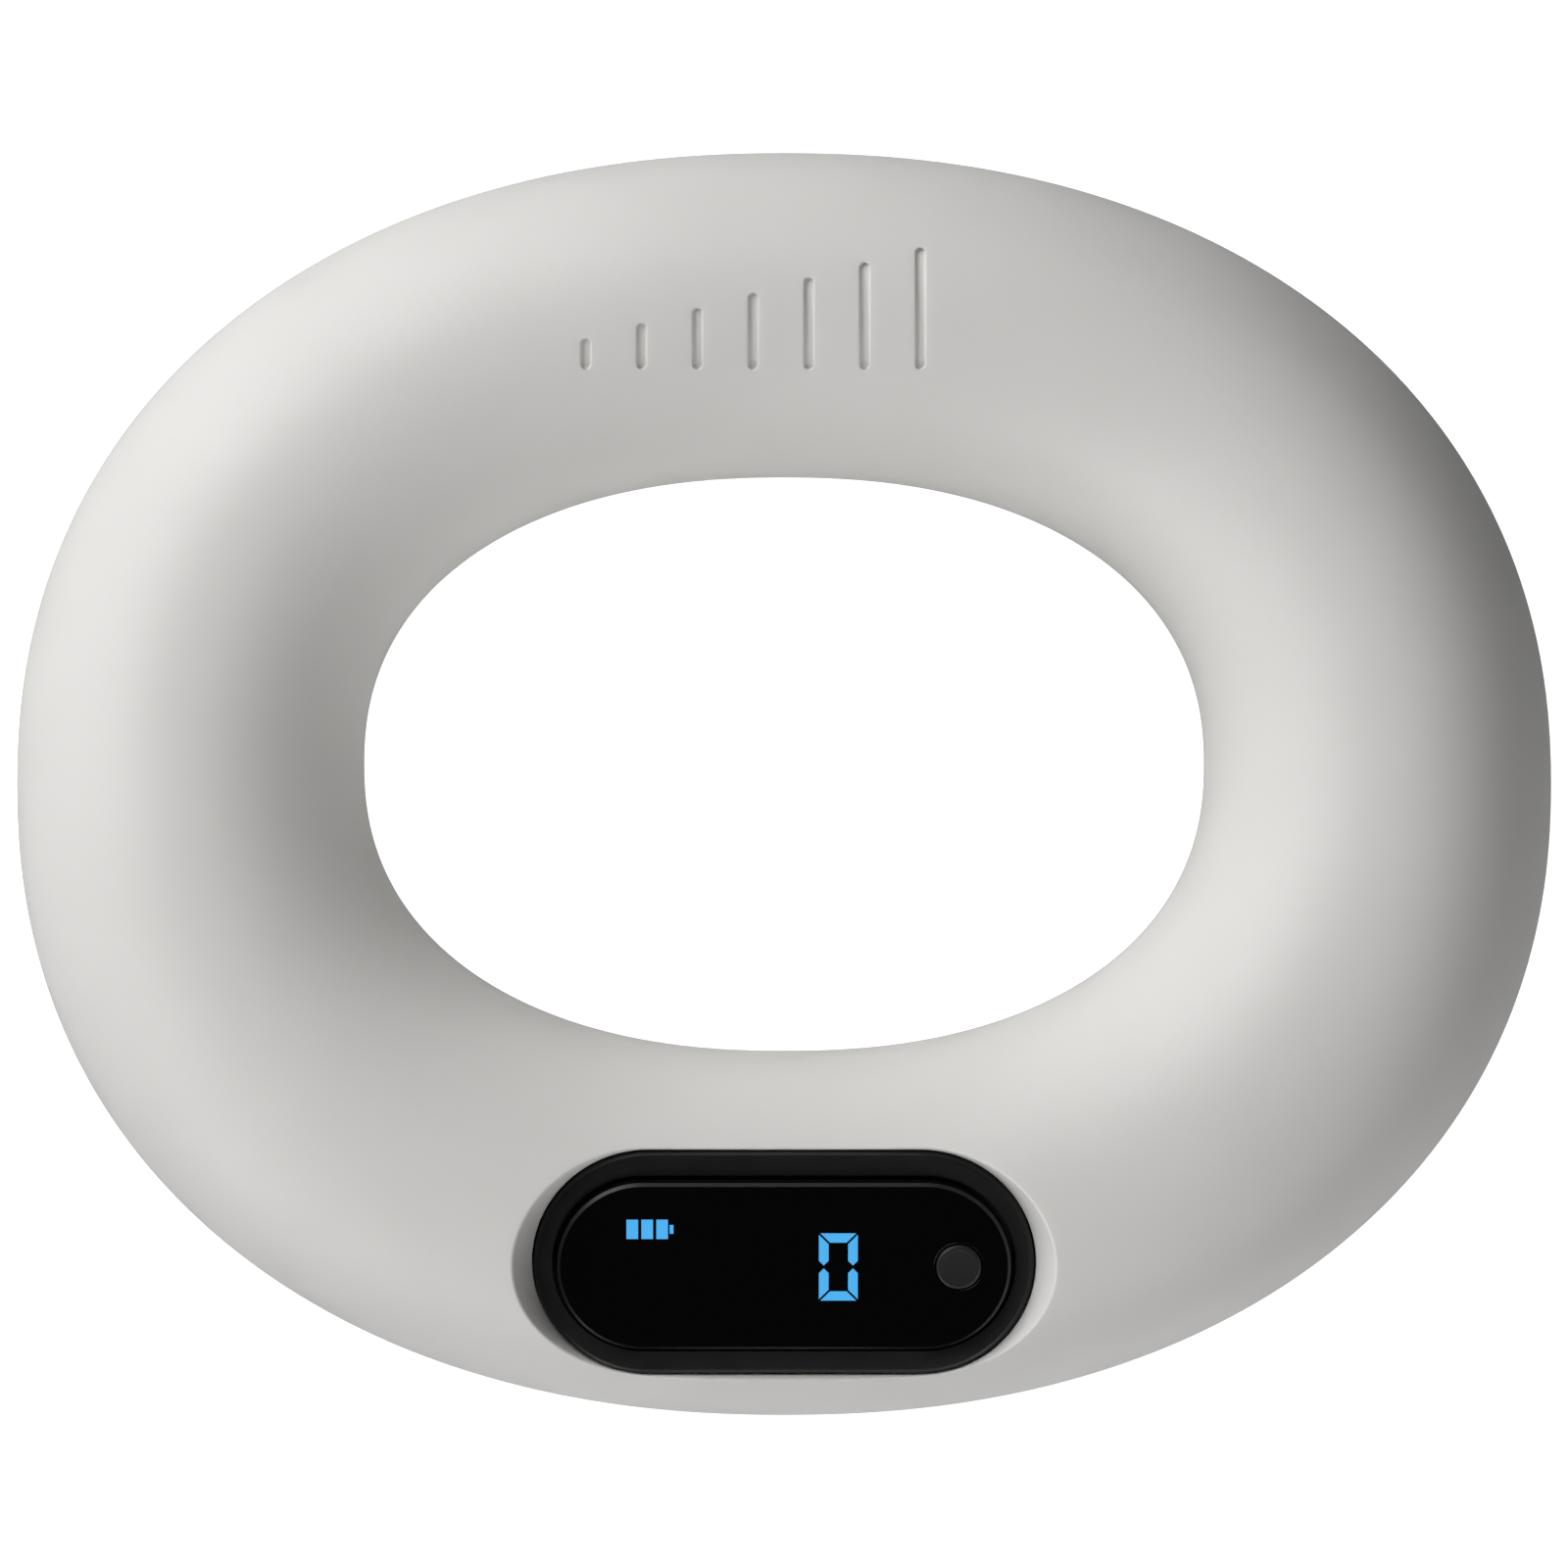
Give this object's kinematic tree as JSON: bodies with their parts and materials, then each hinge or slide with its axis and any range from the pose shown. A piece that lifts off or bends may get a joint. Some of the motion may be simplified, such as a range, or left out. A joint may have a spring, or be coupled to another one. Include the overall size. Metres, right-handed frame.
{
  "type": "hand dynamometer",
  "caption": "Oval silicone grip ring with a spring-steel hoop inside and a pull-out digital display module in its lower band.",
  "frame": {"origin": "middle of the ring's outline on its flat back, the surface that it rests on", "axes": "+Z towards the front with the display, +Y towards the top of the ring, +X to the right as seen from the front"},
  "size_m": [0.096, 0.079, 0.027],
  "materials": {
    "silicone": "matt soft-touch silicone",
    "spring_steel": "brushed",
    "flex_film": "amber polyimide film",
    "dark_plastic": "matt",
    "gold_plate": "gold-plated, satin",
    "case_plastic": "satin, fine spark texture",
    "panel_gloss": "polished black",
    "foam": "closed-cell foam",
    "lit_blue": "lit diffuser",
    "led_chip": "ceramic and epoxy",
    "board_green": "solder mask",
    "chip_black": "moulded epoxy",
    "seal_rubber": "matt",
    "cell_foil": "embossed foil",
    "screw_steel": "plated",
    "button_plastic": "satin"
  },
  "bodies": {
    "grip": {"grip_ring": "silicone", "spring_hoop": "spring_steel", "strain_gauges": "flex_film", "gauge_flex": "flex_film", "contact_block": "dark_plastic", "contact_springs": "gold_plate"},
    "display_module": {"upper_case": "case_plastic", "front_panel": "panel_gloss", "panel_tape": "foam", "lit_bars": "lit_blue", "dark_bars": "panel_gloss", "charge_bars": "lit_blue", "light_baffle": "dark_plastic", "bar_leds": "led_chip", "main_board": "board_green", "controller_chip": "chip_black", "gauge_amplifier": "chip_black", "charger_chip": "chip_black", "board_parts": "led_chip", "tact_switch": "spring_steel", "button_gasket": "seal_rubber", "pouch_cell": "cell_foil", "cell_pads": "foam", "rear_case": "case_plastic", "case_seal": "seal_rubber", "case_screws": "screw_steel", "contact_studs": "gold_plate", "stud_flex": "flex_film"},
    "power_button": {"button_cap": "button_plastic", "switch_plunger": "dark_plastic"}
  },
  "joints": [
    {"name": "module_release", "type": "slide", "parent": "grip", "child": "display_module", "axis": [0, -0.225, 0.9744], "range_m": [0, 0.016]},
    {"name": "button_press", "type": "slide", "parent": "display_module", "child": "power_button", "axis": [0, 0.225, -0.9744], "range_m": [0, 0.0003], "stiffness_N_per_m": 5000}
  ]
}
